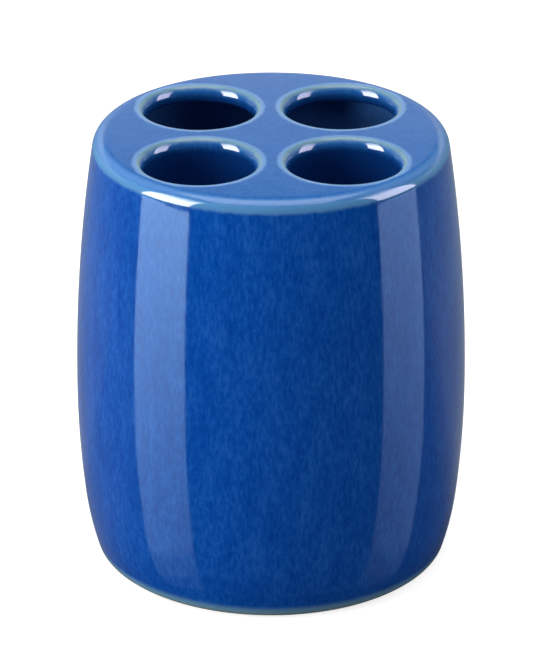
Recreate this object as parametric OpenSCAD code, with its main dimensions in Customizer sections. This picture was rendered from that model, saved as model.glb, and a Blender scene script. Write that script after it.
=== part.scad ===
// Toothbrush holder: a bowed stoneware barrel with four brush holes in its flat top.
// It stands on the plane z = 0, its axis is Z, and its front is towards -Y.
// The clay parts are luted face to face, and coats of glaze cover them.

/* [Barrel] */
// Height from the table to the glazed top
overall_h = 110; // [92:1:150]
// Width across the belly, the widest place
belly_d = 96.5; // [80:0.5:130]
// Height of the belly above the table
belly_z = 43.7; // [24:0.1:70]
// How much the side turns in from the belly to the top edge
top_in = 4.75; // [1:0.05:6]
// Radius of the side's bow from the belly down to the heel
lower_r = 253; // [100:1:500]
// Height at which the side starts to turn in more tightly
heel_z = 16.2; // [8:0.1:22]
// Radius of the side's bow from there down to the foot
heel_r = 84; // [40:1:200]
// Rounding of the top edge
edge_round = 2.8; // [1.5:0.1:3]
// Rounding of the foot edge
foot_round = 2.5; // [1.5:0.1:3.5]

/* [Clay] */
// Thickness of the barrel's wall
wall_t = 3.6; // [2.8:0.1:5]
// Thickness of the top plate
top_t = 2.8; // [2:0.1:6]
// Thickness of the base plate
base_t = 4.2; // [3:0.1:8]
// Height of the bare foot ring
foot_h = 2.2; // [1.2:0.1:4]
// Width of the foot ring's flat face and its inner rounding together
foot_w = 6; // [4:0.5:10]
// Rounding of the foot ring's inner edge
foot_in_round = 0.8; // [0.3:0.1:1]

/* [Brush holes] */
// Distance from a finished hole to the side of the holder, at the top
hole_margin = 5.55; // [5.4:0.05:6.6]
// Distance between two neighbouring finished holes; the holes fill what is left
hole_gap = 7.92; // [6.6:0.02:14]
// Thickness of a collar's clay around its hole
collar_t = 2.2; // [1.9:0.1:2.3]
// Height of the two front collars, which hang far below the top plate
front_collar_h = 14.2; // [6:0.2:40]
// Height of the two back collars, which end just below the top plate
back_collar_h = 3.2; // [3:0.1:40]
// Rounding of a collar's clay at its mouth
lip_round = 1.8; // [0.8:0.1:1.8]
// Rounding of a collar's clay at its lower end
under_round = 0.3; // [0.1:0.1:0.8]

/* [Glaze] */
// Thickness of the glaze, outside and inside
glaze_t = 0.4; // [0.2:0.05:0.5]
// Height above the table at which the outside glaze ends
glaze_line = 0.8; // [0.4:0.1:1.4]

/* [Hidden] */

// Fineness of round parts, and of the long arcs of the side
$fn = 120;
side_fn = 720;
// How far a cutter runs past what it cuts
overrun = 1;
// Reach of the half plane that the sections are drawn in
reach = belly_d;

// Left and right, and front and back, as seen from the front
left = -1;
right = 1;
front = -1;
back = 1;

clay_colour = [0.86, 0.83, 0.76];
glaze_colour = [0.07, 0.26, 0.62];
inside_colour = [0.04, 0.16, 0.42];

// Upper bow, from the belly to the top edge, which it reaches top_in further in
belly_r = belly_d / 2;
upper_rise = overall_h - edge_round - belly_z;
upper_r = (upper_rise * upper_rise + top_in * top_in) / (2 * top_in);
upper_x = belly_r - upper_r;

// Lower bow, from the belly to the heel
lower_x = belly_r - lower_r;
lower_a = asin((belly_z - heel_z) / lower_r);

// Heel bow, which carries on from the lower bow
heel_x = lower_x + (lower_r - heel_r) * cos(lower_a);
heel_mid_z = belly_z - (lower_r - heel_r) * sin(lower_a);

// Levels of the clay
body_top = overall_h - glaze_t;
plate_z = body_top - top_t;
floor_z = foot_h + base_t;

// Radius of the foot ring's inner side
foot_in_r = low_x(0, 0, foot_round) - foot_w;

// The holes, as wide as the top allows: their centres lie on the diagonals, half a gap and
// a radius from each axis, and their far sides lie on a circle one margin inside the top
diagonal_share = sqrt(2);
holes_reach = belly_r - top_in - hole_margin;
hole_r = (holes_reach - diagonal_share * hole_gap / 2) / (1 + diagonal_share);
hole_at = hole_r + hole_gap / 2;
// Radii of the hole through the clay, and of the collar round it
bore_r = hole_r + glaze_t;
collar_r = bore_r + collar_t;

function collar_h(row) = row == front ? front_collar_h : back_collar_h;

// A rounding of radius r between the level z and the side, drawn in by `inset`:
// the angle and the height at which it meets the side, and how far from the axis its centre is
function high_a(inset, z, r) = asin((z - r - belly_z) / (upper_r - inset - r));
function high_cut(inset, z, r) = z - r + r * sin(high_a(inset, z, r));
function high_x(inset, z, r) = upper_x + (upper_r - inset - r) * cos(high_a(inset, z, r));
function low_a(inset, z, r) = asin((heel_mid_z - z - r) / (heel_r - inset - r));
function low_cut(inset, z, r) = z + r - r * sin(low_a(inset, z, r));
function low_x(inset, z, r) = heel_x + (heel_r - inset - r) * cos(low_a(inset, z, r));

// A level strip of the half plane
module strip(z0, z1) {
    translate([0, z0])
        square([reach, z1 - z0]);
}

module disc(x, z, r) {
    translate([x, z])
        circle(r);
}

// What lies inside the side's three bows, drawn in by `inset`
module bowed_area(inset) {
    heel_cut = belly_z - (lower_r - inset) * sin(lower_a);
    intersection() {
        strip(belly_z, overall_h);
        disc(upper_x, belly_z, upper_r - inset, $fn = side_fn);
    }
    intersection() {
        strip(heel_cut, belly_z);
        disc(lower_x, belly_z, lower_r - inset, $fn = side_fn);
    }
    intersection() {
        strip(0, heel_cut);
        disc(heel_x, heel_mid_z, heel_r - inset, $fn = side_fn);
    }
}

// The end of it below a rounding of radius r at the level z, and the end above one
module low_end(inset, z, r) {
    intersection() {
        strip(z, low_cut(inset, z, r));
        union() {
            square([low_x(inset, z, r), overall_h]);
            disc(low_x(inset, z, r), z + r, r);
        }
    }
}

module high_end(inset, z, r) {
    intersection() {
        strip(high_cut(inset, z, r), z);
        union() {
            square([high_x(inset, z, r), overall_h]);
            disc(high_x(inset, z, r), z - r, r);
        }
    }
}

// Section of the whole holder, drawn in by `inset`
module outline_area(inset) {
    top = overall_h - inset;
    top_r = edge_round - inset;
    foot_r = foot_round - inset;
    intersection() {
        strip(low_cut(inset, inset, foot_r), high_cut(inset, top, top_r));
        bowed_area(inset);
    }
    high_end(inset, top, top_r);
    low_end(inset, inset, foot_r);
}

// What a corner at x, z loses to a rounding of radius r, towards the side that `up` points to
module corner_area(x, z, r, up) {
    translate([x, z])
        scale([1, up])
            difference() {
                square(r);
                disc(r, r, r);
            }
}

// Section of a ring round a hole, `grow` larger than a clay collar of height h at its mouth
module collar_area(h, grow) {
    difference() {
        translate([bore_r - grow, body_top - h - grow])
            square([collar_t + grow, h + 2 * grow]);
        corner_area(bore_r - grow, body_top + grow, lip_round + grow, -1);
        corner_area(bore_r - grow, body_top - h - grow, under_round + grow, 1);
    }
}

module at_hole(side, row) {
    translate([side * hole_at, row * hole_at, 0])
        children();
}

// A cylinder round every hole, from the lower end of its collar's glaze upwards
module all_collars(r, h) {
    for (side = [left, right], row = [front, back])
        at_hole(side, row)
            translate([0, 0, body_top - collar_h(row) - glaze_t])
                cylinder(r = r, h = h);
}

// The ring that the holder stands on, bare below the line where the glaze ends
module foot_ring() {
    color(clay_colour)
        rotate_extrude()
            difference() {
                union() {
                    intersection() {
                        strip(0, glaze_line);
                        outline_area(0);
                    }
                    intersection() {
                        strip(glaze_line, foot_h);
                        outline_area(glaze_t);
                    }
                }
                square([foot_in_r, foot_h]);
                corner_area(foot_in_r, 0, foot_in_round, 1);
            }
}

// The slab that closes the bottom, inside the wall and on the foot ring
module base_plate() {
    color(clay_colour)
        rotate_extrude()
            intersection() {
                strip(foot_h, floor_z);
                bowed_area(glaze_t + wall_t);
            }
}

module barrel_wall() {
    color(clay_colour)
        rotate_extrude()
            intersection() {
                strip(foot_h, plate_z);
                difference() {
                    outline_area(glaze_t);
                    bowed_area(glaze_t + wall_t);
                }
            }
}

// The disc on top of the wall, with a hole for each collar
module top_plate() {
    color(clay_colour)
        difference() {
            rotate_extrude()
                intersection() {
                    strip(plate_z, body_top);
                    outline_area(glaze_t);
                }
            for (side = [left, right], row = [front, back])
                at_hole(side, row)
                    translate([0, 0, plate_z - overrun])
                        cylinder(r = collar_r, h = top_t + 2 * overrun);
        }
}

// A collar hangs from the plate, and is trimmed where it meets the wall
module collar(side, row) {
    color(clay_colour)
        difference() {
            at_hole(side, row)
                rotate_extrude()
                    collar_area(collar_h(row), 0);
            barrel_wall();
        }
}

// The coat over the side, the top, and the mouths and walls of the holes
module outside_glaze() {
    color(glaze_colour) {
        difference() {
            rotate_extrude()
                intersection() {
                    strip(glaze_line, overall_h);
                    difference() {
                        outline_area(0);
                        outline_area(glaze_t);
                    }
                }
            for (side = [left, right], row = [front, back])
                at_hole(side, row)
                    translate([0, 0, body_top - overrun])
                        cylinder(r = collar_r, h = glaze_t + 2 * overrun);
        }
        for (side = [left, right], row = [front, back])
            at_hole(side, row)
                rotate_extrude()
                    difference() {
                        collar_area(collar_h(row), glaze_t);
                        collar_area(collar_h(row), 0);
                    }
    }
}

// The coat on the floor, the wall, the underside of the plate and the outside of the collars
module inside_glaze() {
    color(inside_colour)
        difference() {
            rotate_extrude()
                intersection() {
                    strip(floor_z, plate_z);
                    bowed_area(glaze_t + wall_t);
                }
            all_collars(collar_r, overall_h);
            difference() {
                rotate_extrude()
                    intersection() {
                        strip(floor_z + glaze_t, plate_z - glaze_t);
                        bowed_area(wall_t + 2 * glaze_t);
                    }
                all_collars(collar_r + glaze_t, overall_h);
            }
        }
}

// The coat under the base, inside the foot ring
module base_glaze() {
    color(glaze_colour)
        translate([0, 0, foot_h - glaze_t])
            cylinder(r = foot_in_r, h = glaze_t);
}

foot_ring();
base_plate();
barrel_wall();
top_plate();
collar(left, front);  // collar_front_left
collar(right, front);  // collar_front_right
collar(left, back);  // collar_back_left
collar(right, back);  // collar_back_right
outside_glaze();
inside_glaze();
base_glaze();
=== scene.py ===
"""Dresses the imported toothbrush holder: glazed shell, linings, materials, light and camera."""

import math

import bpy
import numpy as np
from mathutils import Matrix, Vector, noise


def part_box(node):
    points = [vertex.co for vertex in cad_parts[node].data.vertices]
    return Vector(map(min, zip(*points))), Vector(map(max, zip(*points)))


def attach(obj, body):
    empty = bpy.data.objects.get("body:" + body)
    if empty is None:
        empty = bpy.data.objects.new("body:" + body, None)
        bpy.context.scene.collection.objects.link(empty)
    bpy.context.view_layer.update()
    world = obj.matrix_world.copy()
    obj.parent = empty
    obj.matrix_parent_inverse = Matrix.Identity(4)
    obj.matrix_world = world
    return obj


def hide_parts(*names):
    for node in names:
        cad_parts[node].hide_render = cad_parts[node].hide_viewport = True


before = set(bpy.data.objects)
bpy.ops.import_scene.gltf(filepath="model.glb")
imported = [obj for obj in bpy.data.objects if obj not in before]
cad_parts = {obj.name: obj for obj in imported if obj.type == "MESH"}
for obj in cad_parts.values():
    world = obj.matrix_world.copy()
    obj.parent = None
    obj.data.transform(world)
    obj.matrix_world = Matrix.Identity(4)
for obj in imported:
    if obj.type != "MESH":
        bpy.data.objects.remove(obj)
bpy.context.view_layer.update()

# Sizes in millimetres, as in the part's source. The scene itself is in metres
MM = 0.001
GLAZE_T = 0.4
GLAZE_LINE = 0.8
EDGE_ROUND = 2.8
FOOT_ROUND = 2.5
BELLY_Z = 43.7
TOP_IN = 4.75
LOWER_R = 253.0
HEEL_Z = 16.2
HEEL_R = 84.0
COLLAR_T = 2.2
FRONT_COLLAR_H = 14.2
BACK_COLLAR_H = 3.2
HOLE_MARGIN = 5.55
HOLE_GAP = 7.92

# Sizes of the visible coat alone. It runs thin over the top edge, so its own rounding there
# is the wider one, and over each lip it follows two arcs, which meet at a slope
THIN_EDGE_ROUND = 3.5
LIP_TOP_ROUND = 0.8
LIP_TURN = math.radians(33)
LIP_ROUND = 2.9
UNDER_ROUND = 0.7
# How much fuller the coat is at the plan's diagonals, and the height from which it is so
FULLER = 0.4
FULL_Z = 8.0
# How deep and how wide the slight waves are that the glaze's own flow leaves, what part of
# their depth is finer ones, and how much finer these are
WAVE_DEPTH = 0.014
WAVE_SIZE = 9
FINER_PART = 0.25
FINER_SIZE = 0.4

shell_low, shell_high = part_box("outside_glaze")
TOP_Z = shell_high.z / MM
BELLY_R = (shell_high.x - shell_low.x) / 2 / MM

# Places that follow from these sizes
HOLES_REACH = BELLY_R - TOP_IN - HOLE_MARGIN
HOLE_R = (HOLES_REACH - HOLE_GAP / math.sqrt(2)) / (1 + math.sqrt(2))
HOLE_AT = HOLE_R + HOLE_GAP / 2
COLLAR_R = HOLE_R + GLAZE_T + COLLAR_T
LIP_MID_Z = TOP_Z - LIP_TOP_ROUND - (LIP_ROUND - LIP_TOP_ROUND) * math.cos(LIP_TURN)
LIP_TOP_X = HOLE_R + LIP_ROUND - (LIP_ROUND - LIP_TOP_ROUND) * math.sin(LIP_TURN)
UPPER_RISE = TOP_Z - EDGE_ROUND - BELLY_Z
UPPER_R = (UPPER_RISE**2 + TOP_IN**2) / (2 * TOP_IN)
HIGH_A = math.asin((TOP_Z - THIN_EDGE_ROUND - BELLY_Z) / (UPPER_R - THIN_EDGE_ROUND))
EDGE_X = BELLY_R - UPPER_R + (UPPER_R - THIN_EDGE_ROUND) * math.cos(HIGH_A)
LOWER_A = math.asin((BELLY_Z - HEEL_Z) / LOWER_R)
HEEL_X = BELLY_R - LOWER_R + (LOWER_R - HEEL_R) * math.cos(LOWER_A)
HEEL_MID_Z = BELLY_Z - (LOWER_R - HEEL_R) * math.sin(LOWER_A)
LOW_A = math.asin((HEEL_MID_Z - FOOT_ROUND) / (HEEL_R - FOOT_ROUND))
FOOT_X = HEEL_X + (HEEL_R - FOOT_ROUND) * math.cos(LOW_A)
LINE_A = math.asin((FOOT_ROUND - GLAZE_LINE) / FOOT_ROUND)

# How finely the shell is divided: columns along a quarter's arc and along each of its
# straight sides, rows along each stretch of a section, and the height of a row on a hole's
# wall, in millimetres, with the fewest rows that it has
ARC_COLUMNS = 96
STRAIGHT_COLUMNS = 40
FLAT_ROWS = 10
LIP_ROWS = 14
LIP_TOP_ROWS = 7
UNDER_ROWS = 6
COLLAR_ROWS = 3
EDGE_ROWS = 20
UPPER_ROWS = 44
LOWER_ROWS = 20
HEEL_ROWS = 12
FOOT_ROWS = 6
WALL_ROW = 0.9
WALL_ROWS = 3
# Points are welded where they share a cell of a grid that has so many cells per millimetre
WELD_CELLS = 1e4
# Keeps the middle of the top, which lies on the axis, from dividing by zero
TINY = 1e-9

# What the glaze's material reads at each point: distance along the surface past the start
# of the top edge's rounding, past the start of the nearest lip's rounding, and above the
# line where the glaze ends, all in millimetres
KEYS = ("past_edge", "past_lip", "above_line")
# What stands for the second of them on the side, where no lip is near
FAR = 50.0


def arc(centre_x, centre_z, radius, start, stop, steps):
    """Points of an arc with their outward normals: rows of (x, z, normal x, normal z)."""
    a = np.linspace(start, stop, steps + 1)
    c, s = np.cos(a), np.sin(a)
    return np.stack([centre_x + radius * c, centre_z + radius * s, c, s], 1)


def line(x0, z0, x1, z1, normal, steps):
    """Points of a straight stretch with one normal."""
    t = np.linspace(0, 1, steps + 1)
    nx, nz = normal
    return np.stack([x0 + (x1 - x0) * t, z0 + (z1 - z0) * t, nx + 0 * t, nz + 0 * t], 1)


def chain(*stretches):
    """Joins stretches that meet end to end, keeping each shared point once."""
    return np.concatenate([stretches[0]] + [s[1:] for s in stretches[1:]])


def hole_profile(collar_h):
    """Section of a hole's glaze, from the collar's lower end up over the lip, by distance
    from the hole's own axis."""
    low = TOP_Z - collar_h - 2 * GLAZE_T
    wall_rows = max(WALL_ROWS, round((collar_h - UNDER_ROUND) / WALL_ROW))
    return chain(
        line(COLLAR_R, low, HOLE_R + UNDER_ROUND, low, (0, -1), COLLAR_ROWS),
        arc(HOLE_R + UNDER_ROUND, low + UNDER_ROUND, UNDER_ROUND,
            -math.pi / 2, -math.pi, UNDER_ROWS),
        line(HOLE_R, low + UNDER_ROUND, HOLE_R, LIP_MID_Z, (-1, 0), wall_rows),
        arc(HOLE_R + LIP_ROUND, LIP_MID_Z, LIP_ROUND,
            math.pi, math.pi / 2 + LIP_TURN, LIP_ROWS),
        arc(LIP_TOP_X, TOP_Z - LIP_TOP_ROUND, LIP_TOP_ROUND,
            math.pi / 2 + LIP_TURN, math.pi / 2, LIP_TOP_ROWS),
    )


def side_profile():
    """Section of the outside, from the flat top's edge down to the line where the glaze
    ends, by distance from the holder's axis."""
    return chain(
        arc(EDGE_X, TOP_Z - THIN_EDGE_ROUND, THIN_EDGE_ROUND, math.pi / 2, HIGH_A,
            EDGE_ROWS),
        arc(BELLY_R - UPPER_R, BELLY_Z, UPPER_R, HIGH_A, 0, UPPER_ROWS),
        arc(BELLY_R - LOWER_R, BELLY_Z, LOWER_R, 0, -LOWER_A, LOWER_ROWS),
        arc(HEEL_X, HEEL_MID_Z, HEEL_R, -LOWER_A, -LOW_A, HEEL_ROWS),
        arc(FOOT_X, FOOT_ROUND, FOOT_ROUND, -LOW_A, -LINE_A, FOOT_ROWS),
    )


def travelled(profile):
    """Length along a section up to each of its points."""
    steps = np.hypot(*np.diff(profile[:, :2], axis=0).T)
    return np.concatenate([[0], np.cumsum(steps)])


def boundary_ring():
    """Points round one quarter of the flat top: its arc, then the two straight sides, as
    (x, y) in a frame in which the quarter's x and y are positive."""
    t = np.linspace(0, math.pi / 2, ARC_COLUMNS + 1)
    round_side = EDGE_X * np.stack([np.cos(t), np.sin(t)], 1)
    back = np.linspace(EDGE_X, 0, STRAIGHT_COLUMNS + 1)[1:]
    side_y = np.stack([0 * back, back], 1)
    side_x = np.stack([EDGE_X - back, 0 * back], 1)[:-1]
    return np.concatenate([round_side, side_y, side_x])


def fullness(ring):
    """How far the coat stands out at each point of the ring, as vectors."""
    reach2 = np.maximum((ring**2).sum(1), TINY)
    diagonal = (2 * ring[:, 0] * ring[:, 1] / reach2) ** 2
    out = ring * (FULLER * diagonal / np.sqrt(reach2))[:, None]
    return np.concatenate([out, np.zeros((len(ring), 1))], 1)


def eased(value, low, high):
    """A smooth step from 0 at `low` to 1 at `high`."""
    t = np.clip((value - low) / (high - low), 0, 1)
    return t * t * (3 - 2 * t)


class Shell:
    """Collects grids of points as one mesh, with values that the materials read."""

    def __init__(self):
        self.points, self.faces, self.values, self.count = [], [], [], 0

    def add(self, points, values):
        """Adds points (n, 3) and their values (n, k), and returns their numbers."""
        first = self.count
        self.points.append(points)
        self.values.append(values)
        self.count += len(points)
        return np.arange(first, self.count)

    def quads(self, a, b, c, d, flip):
        """Faces whose corners are the numbers in a, b, c and d."""
        q = np.stack([np.ravel(v) for v in (a, b, c, d)], 1)
        self.faces.append(q[:, ::-1] if flip else q)

    def grid(self, n, flip, closed=False):
        """Faces over the numbers n[row, column]."""
        m = np.concatenate([n, n[:, :1]], 1) if closed else n
        self.quads(m[:-1, :-1], m[1:, :-1], m[1:, 1:], m[:-1, 1:], flip)

    def make(self, name, keys):
        """The mesh, with points that coincide welded and the values as attributes."""
        points = np.concatenate(self.points)
        values = np.concatenate(self.values)
        faces = np.concatenate(self.faces)
        # The zero that is added makes one value of 0 and -0
        cells = np.round(points * WELD_CELLS) + 0.0
        _, first, number = np.unique(cells, axis=0, return_index=True, return_inverse=True)
        number = number.reshape(-1)
        mesh = bpy.data.meshes.new(name)
        mesh.from_pydata((points[first] * MM).tolist(), [], number[faces].tolist())
        mesh.validate()
        for k, key in enumerate(keys):
            mesh.attributes.new(key, "FLOAT", "POINT")
            mesh.attributes[key].data.foreach_set(
                "value", values[first, k].astype(np.float32)
            )
        mesh.shade_smooth()
        made = bpy.data.objects.new(name, mesh)
        bpy.context.scene.collection.objects.link(made)
        return made


def turned(profile, ways):
    """The points and the normals of a section that is turned towards each of the ways."""
    def one(out, up):
        level = out[:, None, None] * ways[None]
        height = np.broadcast_to(up[:, None, None], level.shape[:2] + (1,))
        return np.concatenate([level, height], 2)
    x, z, nx, nz = profile.T
    return one(x, z), one(nx, nz)


def hole_part(collar_h, ring, full):
    """Rows up a hole's wall, over its lip and across the flat top to the ring: the points,
    their normals, how far the coat stands out, and the first two of the KEYS."""
    hole = hole_profile(collar_h)
    run = travelled(hole)
    away = ring - HOLE_AT
    reach = np.hypot(*away.T)
    away = away / reach[:, None]
    points, normals = turned(hole, away)
    points[..., :2] += HOLE_AT
    past_lip = np.broadcast_to((run[-1] - run)[:, None], points.shape[:2])

    # Across the flat top, without its first row, which is the lip's last
    t = np.linspace(0, 1, FLAT_ROWS + 1)[1:, None]
    rho = LIP_TOP_X + (reach[None] - LIP_TOP_X) * t
    flat = HOLE_AT + rho[..., None] * away[None]
    level = np.full(rho.shape + (1,), TOP_Z)
    points = np.concatenate([points, np.concatenate([flat, level], 2)])
    normals = np.concatenate([normals, np.broadcast_to([0.0, 0, 1], rho.shape + (3,))])
    past_lip = np.concatenate([past_lip, LIP_TOP_X - rho])
    past_edge = np.hypot(points[..., 0], points[..., 1]) - EDGE_X
    share = np.concatenate([np.zeros(len(hole)), t[:, 0]])
    return points, normals, share[:, None, None] * full[None], past_edge, past_lip


def side_part(side, ring, full):
    """Rows down the side, under the ring's arc, in the same form as hole_part's. The first
    row is left out, because it is the flat top's last."""
    points, normals = turned(side[1:], ring / EDGE_X)
    past_edge = np.broadcast_to(travelled(side)[1:, None], points.shape[:2])
    past_lip = np.full(past_edge.shape, -FAR)
    share = eased(side[1:, 1], GLAZE_LINE, FULL_Z)
    return points, normals, share[:, None, None] * full[None], past_edge, past_lip


def glaze_shell():
    """The coat over the side, the top and the holes, as one closed skin: a quarter round
    each hole, whose columns run out to the quarter's boundary and on down the side."""
    shell = Shell()
    ring = boundary_ring()
    full = fullness(ring)
    arcs = slice(0, ARC_COLUMNS + 1)
    side = side_profile()
    side_length = travelled(side)[-1]
    side_rows = side_part(side, ring[arcs], full[arcs])

    def skin(part, inner, mirror):
        points, normals, stand_out, past_edge, past_lip = part
        placed = points - GLAZE_T * normals if inner else points + stand_out
        values = (past_edge, past_lip, side_length - past_edge)
        values = np.stack([np.ravel(v) for v in values], 1)
        return shell.add(placed.reshape(-1, 3) * mirror, values).reshape(past_edge.shape)

    for right in (-1, 1):
        for back in (-1, 1):
            collar_h = BACK_COLLAR_H if back > 0 else FRONT_COLLAR_H
            hole_rows = hole_part(collar_h, ring, full)
            flip = right * back < 0
            ends = []
            for inner in (False, True):
                top, down = (skin(part, inner, np.array([right, back, 1.0]))
                             for part in (hole_rows, side_rows))
                down = np.concatenate([top[-1:, arcs], down])
                shell.grid(top, flip != inner, closed=True)
                shell.grid(down, flip != inner)
                ends += [top[0], down[-1]]
            low, foot, inner_low, inner_foot = ends
            shell.quads(low, np.roll(low, -1), np.roll(inner_low, -1), inner_low, flip)
            shell.quads(foot[1:], foot[:-1], inner_foot[:-1], inner_foot[1:], flip)
    return shell.make("glazed_shell", KEYS)


def unevenness(points, size):
    """A smooth value from 0 to 1 for each point, which varies over about `size`."""
    found = [noise.noise(Vector(p) / size) for p in points]
    return np.clip(0.5 + 0.5 * np.array(found), 0, 1)


def waver(piece, depth, size):
    """Lowers the surface by up to `depth`, unevenly over `size` and in part over a smaller
    one. It never rises, so the piece stays in its box."""
    mesh = piece.data
    co = np.zeros(len(mesh.vertices) * 3)
    mesh.vertices.foreach_get("co", co)
    normal = np.zeros(len(mesh.vertices) * 3)
    mesh.vertices.foreach_get("normal", normal)
    co, normal = co.reshape(-1, 3), normal.reshape(-1, 3)
    broad = unevenness(co, size)
    fine = unevenness(co + size, size * FINER_SIZE)
    drop = depth * ((1 - FINER_PART) * broad + FINER_PART * fine)
    mesh.vertices.foreach_set("co", (co - normal * drop[:, None]).ravel())
    mesh.update()


shell = glaze_shell()
waver(shell, WAVE_DEPTH * MM, WAVE_SIZE * MM)
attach(shell, "root")
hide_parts("outside_glaze")


class Tree:
    """A short way to write the nodes of a material or of the world."""

    def __init__(self, owner):
        owner.use_nodes = True
        self.owner = owner
        self.tree = owner.node_tree
        self.tree.nodes.clear()

    def node(self, kind, inputs=None, **settings):
        made = self.tree.nodes.new("ShaderNode" + kind)
        for key, value in settings.items():
            setattr(made, key, value)
        for key, value in (inputs or {}).items():
            self.put(made.inputs[key], value)
        return made

    def put(self, socket, value):
        """Gives a socket a plain value, or links it to a socket or to a node's first."""
        if isinstance(value, bpy.types.Node):
            value = value.outputs[0]
        if isinstance(value, bpy.types.NodeSocket):
            self.tree.links.new(value, socket)
        else:
            socket.default_value = value

    def math(self, operation, a, b):
        return self.node("Math", {0: a, 1: b}, operation=operation).outputs[0]

    def scaled(self, value, factor):
        return self.math("MULTIPLY", value, factor)

    def mix(self, factor, a, b):
        """Colour a, and b as the factor nears 1. Their sockets are numbers 6 and 7."""
        made = self.node("Mix", data_type="RGBA")
        self.put(made.inputs[0], factor)
        self.put(made.inputs[6], a)
        self.put(made.inputs[7], b)
        return made.outputs[2]

    def ramp(self, value, stops):
        made = self.node("ValToRGB")
        points = made.color_ramp.elements
        while len(points) < len(stops):
            points.new(0.5)
        for point, (place, colour) in zip(points, stops):
            point.position = place
            point.color = colour
        self.put(made.inputs[0], value)
        return made.outputs[0]

    def change(self, value, low, high, start, stop, ease="LINEAR"):
        """What goes from `start` to `stop` as the value goes from `low` to `high`."""
        return self.node("MapRange", {0: value, 1: low, 2: high, 3: start, 4: stop},
                         interpolation_type=ease).outputs[0]

    def band(self, value, corners):
        """1 between the two middle corners, and falling to 0 at the outer two."""
        a, b, c, d = corners
        up = self.change(value, a, b, 0.0, 1.0, "SMOOTHSTEP")
        down = self.change(value, c, d, 1.0, 0.0, "SMOOTHSTEP")
        return self.math("MULTIPLY", up, down)

    def noise(self, vector, per_metre, detail=3.0, rough=0.5):
        return self.node(
            "TexNoise", {"Vector": vector, "Scale": per_metre, "Detail": detail,
                         "Roughness": rough}).outputs[0]

    def read(self, key):
        """The value that the mesh holds under this key."""
        return self.node("Attribute", attribute_name=key).outputs["Fac"]

    def seen_plainly(self):
        """1 for what the camera sees straight or through something clear, otherwise 0."""
        path = self.node("LightPath")
        return self.math("MAXIMUM", path.outputs["Is Camera Ray"],
                         path.outputs["Is Transmission Ray"])

    def finish(self, shader, output="OutputMaterial"):
        self.node(output, {"Surface": shader})
        return self.owner


def linear(red, green, blue):
    """A display colour, from 0 to 255, as the scene's linear colour."""
    def one(v):
        v = v / 255
        return v / 12.92 if v <= 0.04045 else ((v + 0.055) / 1.055) ** 2.4
    return one(red), one(green), one(blue), 1.0


def grey(value):
    return value, value, value, 1


# How much each pattern counts in the glaze's mottle, and the colours that go with the
# mottle's values, on the side and on the flat top. The flat top's are painted light: paler,
# standing in for the sheen and overhead light that the top catches
FINE_SHARE, BROAD_SHARE, SPECK_SHARE = 0.55, 0.3, 0.15
SIDE_BODY = ((0.36, linear(2, 60, 145)), (0.5, linear(6, 73, 160)),
             (0.66, linear(28, 89, 175)))
LIT_TOP_BODY = ((0.36, linear(20, 88, 158)), (0.64, linear(42, 106, 174)))
# The glaze's other colours: round the rims a painted sheen, standing in for the overhead light's
# reflection;
# where it breaks, at the lips and the foot; in the holes painted shade; and what is mixed in
# inside, partly a paler glaze and partly painted light that lifts the dim inside
PAINTED_SHEEN = linear(106, 150, 200)
BROKEN = linear(84, 138, 182)
LIP_PALE = linear(124, 154, 156)
HOLE_SHADE_BLUE = linear(0, 38, 107)
INSIDE_LIFT_BLUE = linear(72, 118, 168)

# Where these colours lie, in the millimetres of the KEYS: each band's four corners, and the
# two ends of the gradual changes
TOP_END = (2.0, 3.9)
HOLE_START = (1.5, 4.0)
EDGE_SHEEN = (0.0, 1.6, 2.2, 3.2)
LIP_SHEEN = (-1.35, -0.4, -0.1, 0.4)
EDGE_BREAK = (2.3, 3.2, 4.2, 5.4)
LIP_BREAK = (-0.1, 0.3, 0.5, 1.4)
FOOT_BREAK = (-1.0, -0.5, 1.2, 3.4)
LIP_LINE = (-0.1, 0.2, 0.5, 2.1)
FOOT_LINE = (-1.0, -0.5, 0.6, 2.7)
# How far their limits wander
WOBBLE = 0.8

# How much of each colour is mixed in there
LIT_TOP_SHARE = 0.85
HOLE_SHADE_SHARE = 0.8
SHEEN_SHARE = 0.8
EDGE_SHEEN_SHARE = 0.55
BREAK_SHARE = 0.8
LINE_SHARE = 0.62
INSIDE_LIFT_SHARE = 0.5

# The clay's colours, by the values of its tone, its grog's colour, and how much of that is
# mixed in from the middle of each speck outwards
CLAY_BODY = ((0.35, linear(176, 158, 130)), (0.5, linear(203, 190, 166)),
             (0.65, linear(220, 210, 190)))
GROG_DARK = linear(96, 78, 60)
GROG_FADE = (0.1, 0.2, 0.7, 0.0)

# How much the streaks' coordinates shrink along the height, which draws them out
DRAWN = 0.33
# Details of the patterns per metre
FINE_STREAKS = 1300
BROAD_STREAKS = 260
SPECKS = 2600
DIMPLES = 900
WANDER = 500
GRAIN = 1800
CLOUDS = 120
GROG = 750.0
# How high the fine streaks stand beside the dimples
STREAK_RELIEF = 0.4
# Roughness, which goes with the broad streaks or with the grain: the values of the pattern
# between which it changes, and its own values there
GLAZE_ROUGH = (0.3, 0.7, 0.05, 0.1)
CLAY_ROUGH = (0.3, 0.7, 0.7, 0.9)


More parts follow.
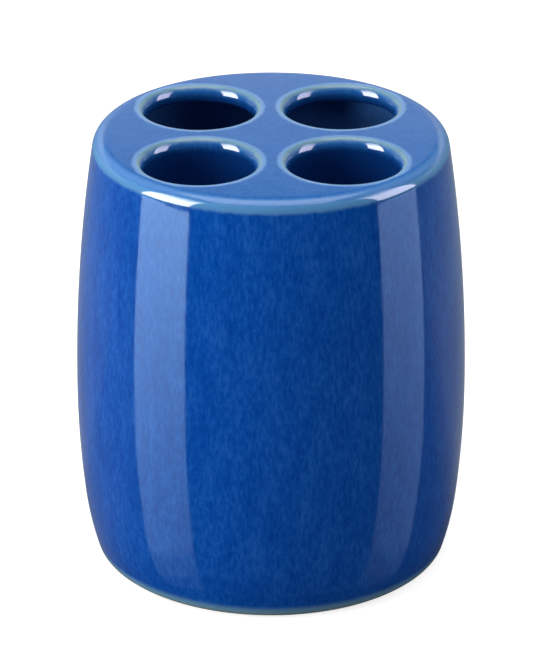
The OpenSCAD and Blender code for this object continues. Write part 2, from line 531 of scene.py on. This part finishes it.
def glaze_material(name, shade=None):
    """Cobalt glaze that runs down in fine streaks and breaks pale where it is thin. Given a
    colour to mix in, it is one for inside, which has no such places; that colour is partly a
    paler glaze and partly painted light that lifts the dim inside."""
    t = Tree(bpy.data.materials.new(name))
    place = t.node("TexCoord").outputs["Object"]
    drawn = t.node("Mapping", {"Vector": place, "Scale": (1, 1, DRAWN)}).outputs[0]
    fine = t.noise(drawn, FINE_STREAKS, 3, 0.6)
    broad = t.noise(drawn, BROAD_STREAKS, 3, 0.55)
    specks = t.noise(place, SPECKS, 2, 0.6)
    mottle = t.math("ADD", t.scaled(fine, FINE_SHARE), t.scaled(broad, BROAD_SHARE))
    mottle = t.math("ADD", mottle, t.scaled(specks, SPECK_SHARE))
    body = t.ramp(mottle, SIDE_BODY)
    if shade is None:
        body = glaze_zones_and_painted_light(t, place, mottle, body)
    else:
        # Partly painted light: the inside is mixed paler, which lifts its dim rooms
        body = t.mix(INSIDE_LIFT_SHARE, body, shade)

    height = t.math("ADD", t.scaled(fine, STREAK_RELIEF), t.noise(place, DIMPLES, 2))
    bump = t.node("Bump", {"Height": height, "Strength": 0.25, "Distance": 0.02 * MM})
    rough = t.change(broad, *GLAZE_ROUGH)
    return t.finish(t.node("BsdfPrincipled", {
        "Base Color": body, "Roughness": rough, "IOR": 1.54, "Normal": bump}))


def glaze_zones_and_painted_light(t, place, mottle, body):
    """The body's colour, changed by where the point lies: painted lighter on the flat top and a
    painted sheen round the top edge and the holes' rims, both painted light; pale where the
    glaze breaks over the top edge, the lips and the foot; and painted shade inside the holes,
    which makes them darker."""
    edge, lip, foot = (t.read(key) for key in KEYS)
    wobble = t.scaled(t.math("SUBTRACT", t.noise(place, WANDER, 3), 0.5), WOBBLE)
    edge = t.math("ADD", edge, wobble)
    lip = t.math("ADD", lip, wobble)

    # Painted light: the flat top is painted paler, standing in for the sheen and overhead light
    # that it catches
    lit_top = t.change(edge, *TOP_END, 1.0, 0.0, "SMOOTHSTEP")
    body = t.mix(t.scaled(lit_top, LIT_TOP_SHARE), body, t.ramp(mottle, LIT_TOP_BODY))
    # Painted shade: the holes are painted darker and deeper blue inside
    body = t.mix(t.change(lip, *HOLE_START, 0.0, HOLE_SHADE_SHARE), body, HOLE_SHADE_BLUE)
    # Painted reflection: a pale sheen round the top edge and the holes' rims, standing in for
    # the overhead light's reflection
    sheen = t.math("MAXIMUM", t.scaled(t.band(edge, EDGE_SHEEN), EDGE_SHEEN_SHARE),
                  t.band(lip, LIP_SHEEN))
    body = t.mix(t.scaled(sheen, SHEEN_SHARE), body, PAINTED_SHEEN)
    thin = t.math("MAXIMUM", t.band(edge, EDGE_BREAK), t.band(lip, LIP_BREAK))
    thin = t.math("MAXIMUM", thin, t.band(foot, FOOT_BREAK))
    body = t.mix(t.scaled(thin, BREAK_SHARE), body, BROKEN)
    pale = t.math("MAXIMUM", t.band(lip, LIP_LINE), t.band(foot, FOOT_LINE))
    return t.mix(t.scaled(pale, LINE_SHARE), body, LIP_PALE)


def stoneware_material(name):
    """Bare buff clay with dark grog specks and a dry, open surface."""
    t = Tree(bpy.data.materials.new(name))
    place = t.node("TexCoord").outputs["Object"]
    grain = t.noise(place, GRAIN, 4, 0.6)
    cloud = t.noise(place, CLOUDS, 3)
    tone = t.math("ADD", t.scaled(grain, 0.5), t.scaled(cloud, 0.5))
    grog = t.node("TexVoronoi", {"Vector": place, "Scale": GROG}).outputs["Distance"]
    body = t.mix(t.change(grog, *GROG_FADE), t.ramp(tone, CLAY_BODY), GROG_DARK)
    bump = t.node("Bump", {"Height": grain, "Strength": 0.5, "Distance": 0.08 * MM})
    rough = t.change(grain, *CLAY_ROUGH)
    return t.finish(t.node("BsdfPrincipled", {
        "Base Color": body, "Roughness": rough, "IOR": 1.5, "Normal": bump}))


def dress(piece, material):
    piece.data.materials.clear()
    piece.data.materials.append(material)


inside = glaze_material("cobalt_glaze_inside", INSIDE_LIFT_BLUE)
clay = stoneware_material("stoneware")
dress(shell, glaze_material("cobalt_glaze"))
for name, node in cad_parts.items():
    if name in ("inside_glaze", "base_glaze"):
        dress(node, inside)
    elif name != "outside_glaze":
        dress(node, clay)


# The studio. The camera is fitted to the photograph: its distance and height follow from
# how the rims and the outline narrow
CAMERA_AT = Vector((-10.4, -945.7, 494.2)) * MM
CAMERA_AIM = Vector((0, 0, 58.8)) * MM
LENS = 232.7
camera_data = bpy.data.cameras.new("camera")
camera_data.lens = LENS
camera = bpy.data.objects.new("camera", camera_data)
camera.location = CAMERA_AT
camera.rotation_euler = (CAMERA_AIM - CAMERA_AT).to_track_quat("-Z", "Y").to_euler()
bpy.context.scene.collection.objects.link(camera)
bpy.context.scene.camera = camera


def towards(azimuth, elevation):
    """The direction at `azimuth` degrees from the front, positive to the right."""
    a, e = math.radians(azimuth), math.radians(elevation)
    return Vector((math.sin(a) * math.cos(e), -math.cos(a) * math.cos(e), math.sin(e)))


def softbox(name, azimuth, distance, width, low, high, radiance, colour, shows):
    """A panel of light that faces the holder: upright, or overhead and level where it has
    no height. It either only shows in the gloss, or only lights."""
    data = bpy.data.lights.new(name, "AREA")
    data.shape = "RECTANGLE"
    data.size, data.size_y = width, (high - low or width)
    data.energy = radiance * math.pi * data.size * data.size_y
    data.color = colour
    lamp = bpy.data.objects.new(name, data)
    side = towards(azimuth, 0 if high > low else 90)
    lamp.location = side * distance + Vector((0, 0, (low + high) / 2))
    lamp.rotation_euler = side.to_track_quat("Z", "Y").to_euler()
    lamp.visible_camera = False
    lamp.visible_glossy = shows
    lamp.visible_diffuse = not shows
    lamp.visible_transmission = shows
    bpy.context.scene.collection.objects.link(lamp)


# For each panel: its azimuth, distance, width, lower and upper edge, how bright it is, its
# colour, and whether it shows in the gloss. The softboxes that show stand at the left, at
# the right and overhead, and the first two are three panels high, each dimmer than the one
# below. The panels that don't show give the light its levels round the holder
WHITE = (1, 1, 1)
LILAC = (0.84, 0.78, 0.96)
PANELS = (
    ("gloss_left", -67.5, 2.02, 1.33, 0.165, 1.60, 18.5, WHITE, True),
    ("gloss_left_upper", -67.5, 2.02, 1.33, 1.60, 2.05, 11.0, WHITE, True),
    ("gloss_left_upmost", -67.5, 2.02, 1.33, 2.05, 2.60, 5.0, WHITE, True),
    ("gloss_right", 82.6, 2.18, 1.32, 0.20, 1.70, 10.2, LILAC, True),
    ("gloss_right_upper", 82.6, 2.18, 1.32, 1.70, 2.20, 6.0, LILAC, True),
    ("gloss_right_upmost", 82.6, 2.18, 1.32, 2.20, 2.80, 2.8, LILAC, True),
    ("light_left", -67.3, 0.69, 0.43, 0.004, 0.60, 6.6, WHITE, False),
    ("light_front", 0, 0.90, 0.60, 0.004, 0.30, 2.0, WHITE, False),
    ("light_right", 81.6, 0.74, 0.42, 0.004, 0.60, 1.6, WHITE, False),
    ("light_back_left", -125, 0.74, 0.42, 0.004, 0.60, 1.8, WHITE, False),
    ("light_back_right", 125, 0.74, 0.42, 0.004, 0.60, 1.5, WHITE, False),
    ("light_overhead", 0, 0.95, 0.75, 0, 0, 4.8, WHITE, False),
    ("gloss_overhead", 0, 0.96, 0.75, 0, 0, 2.2, WHITE, True),
)
for panel in PANELS:
    softbox(*panel)


# How bright the world is to the holder, from front to back and by height over and under a
# strip that is the brightest. Each change has the part of a direction's Y or Z between
# which it goes, and its own values there
BEHIND = (-0.1, 0.6, 0.06, 0.85)
OVER_STRIP = (0.355, 0.40, 1.0, 0.15)
UNDER_STRIP = (0.1, 0.34, 0.35, 1.0)


def world_light():
    """White to the camera. To the holder it is dim in front and brighter behind, most of
    all in a strip some way above the horizon."""
    world = bpy.data.worlds.new("studio")
    bpy.context.scene.world = world
    t = Tree(world)
    way = t.node("SeparateXYZ", {0: t.node("TexCoord").outputs["Generated"]})
    behind = t.change(way.outputs["Y"], *BEHIND, "SMOOTHSTEP")
    over_strip = t.change(way.outputs["Z"], *OVER_STRIP)
    under_strip = t.change(way.outputs["Z"], *UNDER_STRIP)
    lit = t.math("MULTIPLY", t.math("MULTIPLY", behind, over_strip), under_strip)
    strength = t.node("Mix", {0: t.seen_plainly(), 2: lit, 3: 1.0})
    t.finish(t.node("Background", {"Color": grey(1), "Strength": strength}), "OutputWorld")


# What the gloss sees of the table. Its glow changes from front to back, in metres, and, by
# the direction's Y and X, from the front round to the sides and from left to right. The glow
# and the polish both weaken with distance, in metres, and each has a tint
BACK_GLOW = (-0.01, 0.045, 0.03, 0.30)
ASIDE = (-0.85, -0.1, 0.0, 1.0)
SIDE_GLOW = (-0.2, 0.2, 0.20, 0.07)
GLOW_AWAY = (0.18, 0.45, 1.0, 0.5)
POLISH_AWAY = (0.2, 0.6, 1.0, 0.8)
GLOW_TINT = (0.85, 0.94, 1.0, 1)
POLISH_TINT = (0.5, 0.78, 1.0, 1)


def floor_material():
    """A table that is white and keeps the shadow for the camera, is plain grey for the light
    that it throws back, and is polished, with a glow, where it shows in the gloss."""
    t = Tree(bpy.data.materials.new("table"))
    shown = t.node("AddShader", {
        0: t.node("Emission", {"Color": grey(1), "Strength": 0.8}),
        1: t.node("BsdfDiffuse", {"Color": grey(0.4)})})
    plain = t.node("BsdfDiffuse", {"Color": grey(0.35)})

    spot = t.node("TexCoord").outputs["Object"]
    place = t.node("SeparateXYZ", {0: spot})
    away = t.node("VectorMath", {0: spot}, operation="LENGTH").outputs["Value"]
    way = t.node("SeparateXYZ", {0: t.node("VectorMath", {0: spot}, operation="NORMALIZE")})
    back = t.change(place.outputs["Y"], *BACK_GLOW)
    aside = t.change(way.outputs["Y"], *ASIDE)
    side = t.change(way.outputs["X"], *SIDE_GLOW)
    glow = t.math("MAXIMUM", back, t.math("MULTIPLY", aside, side))
    glow = t.math("MULTIPLY", glow, t.change(away, *GLOW_AWAY))

    fresnel = t.node("Fresnel", {"IOR": 1.5})
    polish = t.math("MULTIPLY", fresnel, t.change(away, *POLISH_AWAY))
    polish = t.mix(polish, grey(0), POLISH_TINT)
    mirrored = t.node("AddShader", {
        0: t.node("BsdfGlossy", {"Color": polish, "Roughness": 0.04}),
        1: t.node("Emission", {"Color": GLOW_TINT, "Strength": glow})})
    in_gloss = t.node("LightPath").outputs["Is Glossy Ray"]
    other = t.node("MixShader", {0: in_gloss, 1: plain, 2: mirrored})
    return t.finish(t.node("MixShader", {0: t.seen_plainly(), 1: other, 2: shown}))


# The table, in metres, just under the foot so that the two share no plane
FLOOR_HALF = 3.0
FLOOR_Z = -0.05 * MM
floor_mesh = bpy.data.meshes.new("table")
floor_mesh.from_pydata(
    [(-FLOOR_HALF, -FLOOR_HALF, FLOOR_Z), (FLOOR_HALF, -FLOOR_HALF, FLOOR_Z),
     (FLOOR_HALF, FLOOR_HALF, FLOOR_Z), (-FLOOR_HALF, FLOOR_HALF, FLOOR_Z)],
    [], [(0, 1, 2, 3)])
table = bpy.data.objects.new("table", floor_mesh)
bpy.context.scene.collection.objects.link(table)
dress(table, floor_material())
world_light()
bpy.context.scene.view_settings.view_transform = "Standard"
